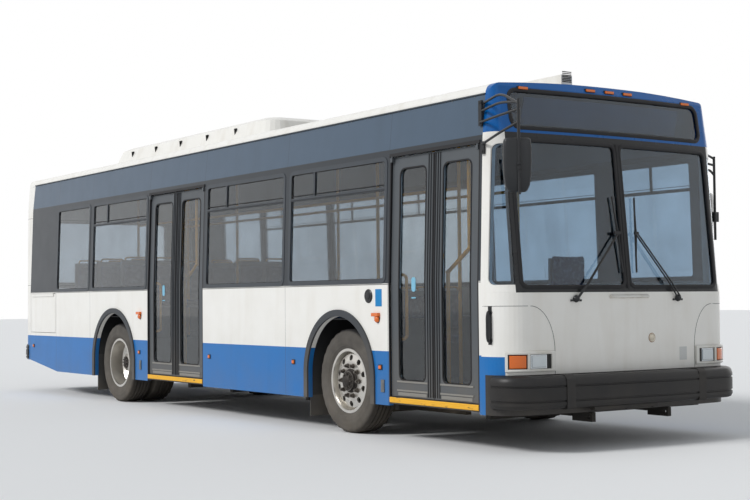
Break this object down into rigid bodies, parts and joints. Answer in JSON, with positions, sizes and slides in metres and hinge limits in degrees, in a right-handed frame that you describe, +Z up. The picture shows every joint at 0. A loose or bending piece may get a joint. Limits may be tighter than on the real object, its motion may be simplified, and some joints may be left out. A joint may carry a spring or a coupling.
{
  "type": "city bus",
  "caption": "Low-floor city bus with double doors on the right, a raked front with a blank sign window, twin rear wheels and a roof cooling unit.",
  "frame": {"origin": "on the road, in the middle of the whole outline, mirrors included", "axes": "+X forwards, +Y to the bus's left, +Z up"},
  "size_m": [11.11, 3.02, 3.19],
  "materials": {
    "body_paint": "gloss",
    "white_paint": "satin",
    "mask_paint": "gloss",
    "dark_frames": "satin",
    "tinted_glass": "gloss",
    "bumper_rubber": "matt",
    "frame_paint": "matt",
    "floor_cover": "matt",
    "tyre": "matt",
    "rim_metal": "polished",
    "cast_steel": "rough",
    "black_plastic": "matt",
    "amber_lens": "gloss",
    "seat_shell": "satin",
    "seat_fabric": "woven",
    "rail_yellow": "gloss"
  },
  "bodies": {
    "body": {"right_side_wall": "body_paint", "left_side_wall": "body_paint", "roof": "white_paint", "floor": "floor_cover", "chassis_frame": "frame_paint", "front_panel": "body_paint", "front_mask": "mask_paint", "rear_wall": "body_paint", "front_glass": "tinted_glass", "cabin_glass": "tinted_glass", "window_frames": "dark_frames", "bumpers": "bumper_rubber", "front_axle": "cast_steel", "rear_axle": "cast_steel", "engine_block": "cast_steel", "cooling_unit": "white_paint", "roof_box": "white_paint", "mirrors": "black_plastic", "wipers": "black_plastic", "headlamps": "white_paint", "lamps": "amber_lens", "seat_frames": "seat_shell", "seat_pads": "seat_fabric", "handrails": "rail_yellow", "dashboard": "black_plastic", "wheel_guards": "black_plastic"},
    "knuckle_right": {"knuckle_right": "cast_steel"},
    "knuckle_left": {"knuckle_left": "cast_steel"},
    "front_wheel_right": {"front_tyre_right": "tyre", "front_rim_right": "rim_metal"},
    "front_wheel_left": {"front_tyre_left": "tyre", "front_rim_left": "rim_metal"},
    "rear_wheels_right": {"rear_tyres_right": "tyre", "rear_rims_right": "rim_metal"},
    "rear_wheels_left": {"rear_tyres_left": "tyre", "rear_rims_left": "rim_metal"},
    "front_door_fore": {"front_door_fore_leaf": "dark_frames", "front_door_fore_glass": "tinted_glass"},
    "front_door_aft": {"front_door_aft_leaf": "dark_frames", "front_door_aft_glass": "tinted_glass"},
    "rear_door_fore": {"rear_door_fore_leaf": "dark_frames", "rear_door_fore_glass": "tinted_glass"},
    "rear_door_aft": {"rear_door_aft_leaf": "dark_frames", "rear_door_aft_glass": "tinted_glass"},
    "engine_door": {"engine_door": "body_paint"},
    "access_door": {"access_door": "body_paint"}
  },
  "joints": [
    {"name": "steering_right", "type": "hinge", "parent": "body", "child": "knuckle_right", "pos_m": [2.812, -0.93, 0.479], "axis": [0, 0, 1], "range_deg": [-40, 40]},
    {"name": "steering_left", "type": "hinge", "parent": "body", "child": "knuckle_left", "pos_m": [2.812, 0.93, 0.479], "axis": [0, 0, 1], "range_deg": [-40, 40]},
    {"name": "front_wheel_right_spin", "type": "hinge", "parent": "knuckle_right", "child": "front_wheel_right", "pos_m": [2.812, -1.0925, 0.479], "axis": [0, 1, 0], "continuous": true},
    {"name": "front_wheel_left_spin", "type": "hinge", "parent": "knuckle_left", "child": "front_wheel_left", "pos_m": [2.812, 1.0925, 0.479], "axis": [0, 1, 0], "continuous": true},
    {"name": "rear_wheels_right_spin", "type": "hinge", "parent": "body", "child": "rear_wheels_right", "pos_m": [-2.377, -1.0925, 0.479], "axis": [0, 1, 0], "continuous": true},
    {"name": "rear_wheels_left_spin", "type": "hinge", "parent": "body", "child": "rear_wheels_left", "pos_m": [-2.377, 1.0925, 0.479], "axis": [0, 1, 0], "continuous": true},
    {"name": "front_door_fore_hinge", "type": "hinge", "parent": "body", "child": "front_door_fore", "pos_m": [4.8385, -1.2575, 1.4], "axis": [0, 0, 1], "range_deg": [0, 90]},
    {"name": "front_door_aft_hinge", "type": "hinge", "parent": "body", "child": "front_door_aft", "pos_m": [3.6325, -1.2575, 1.4], "axis": [0, 0, -1], "range_deg": [0, 90]},
    {"name": "rear_door_fore_hinge", "type": "hinge", "parent": "body", "child": "rear_door_fore", "pos_m": [0.0145, -1.2575, 1.4], "axis": [0, 0, 1], "range_deg": [0, 90]},
    {"name": "rear_door_aft_hinge", "type": "hinge", "parent": "body", "child": "rear_door_aft", "pos_m": [-1.3395, -1.2575, 1.4], "axis": [0, 0, -1], "range_deg": [0, 90]},
    {"name": "engine_door_hinge", "type": "hinge", "parent": "body", "child": "engine_door", "pos_m": [-5.5143, 0, 1.432], "axis": [0, 1, 0], "range_deg": [0, 80]},
    {"name": "access_door_hinge", "type": "hinge", "parent": "body", "child": "access_door", "pos_m": [-4.755, -1.3043, 1.35], "axis": [-1, 0, 0], "range_deg": [0, 90]}
  ],
  "couplings": [
    {"joint": "steering_left", "follows": "steering_right", "ratio": 1}
  ]
}
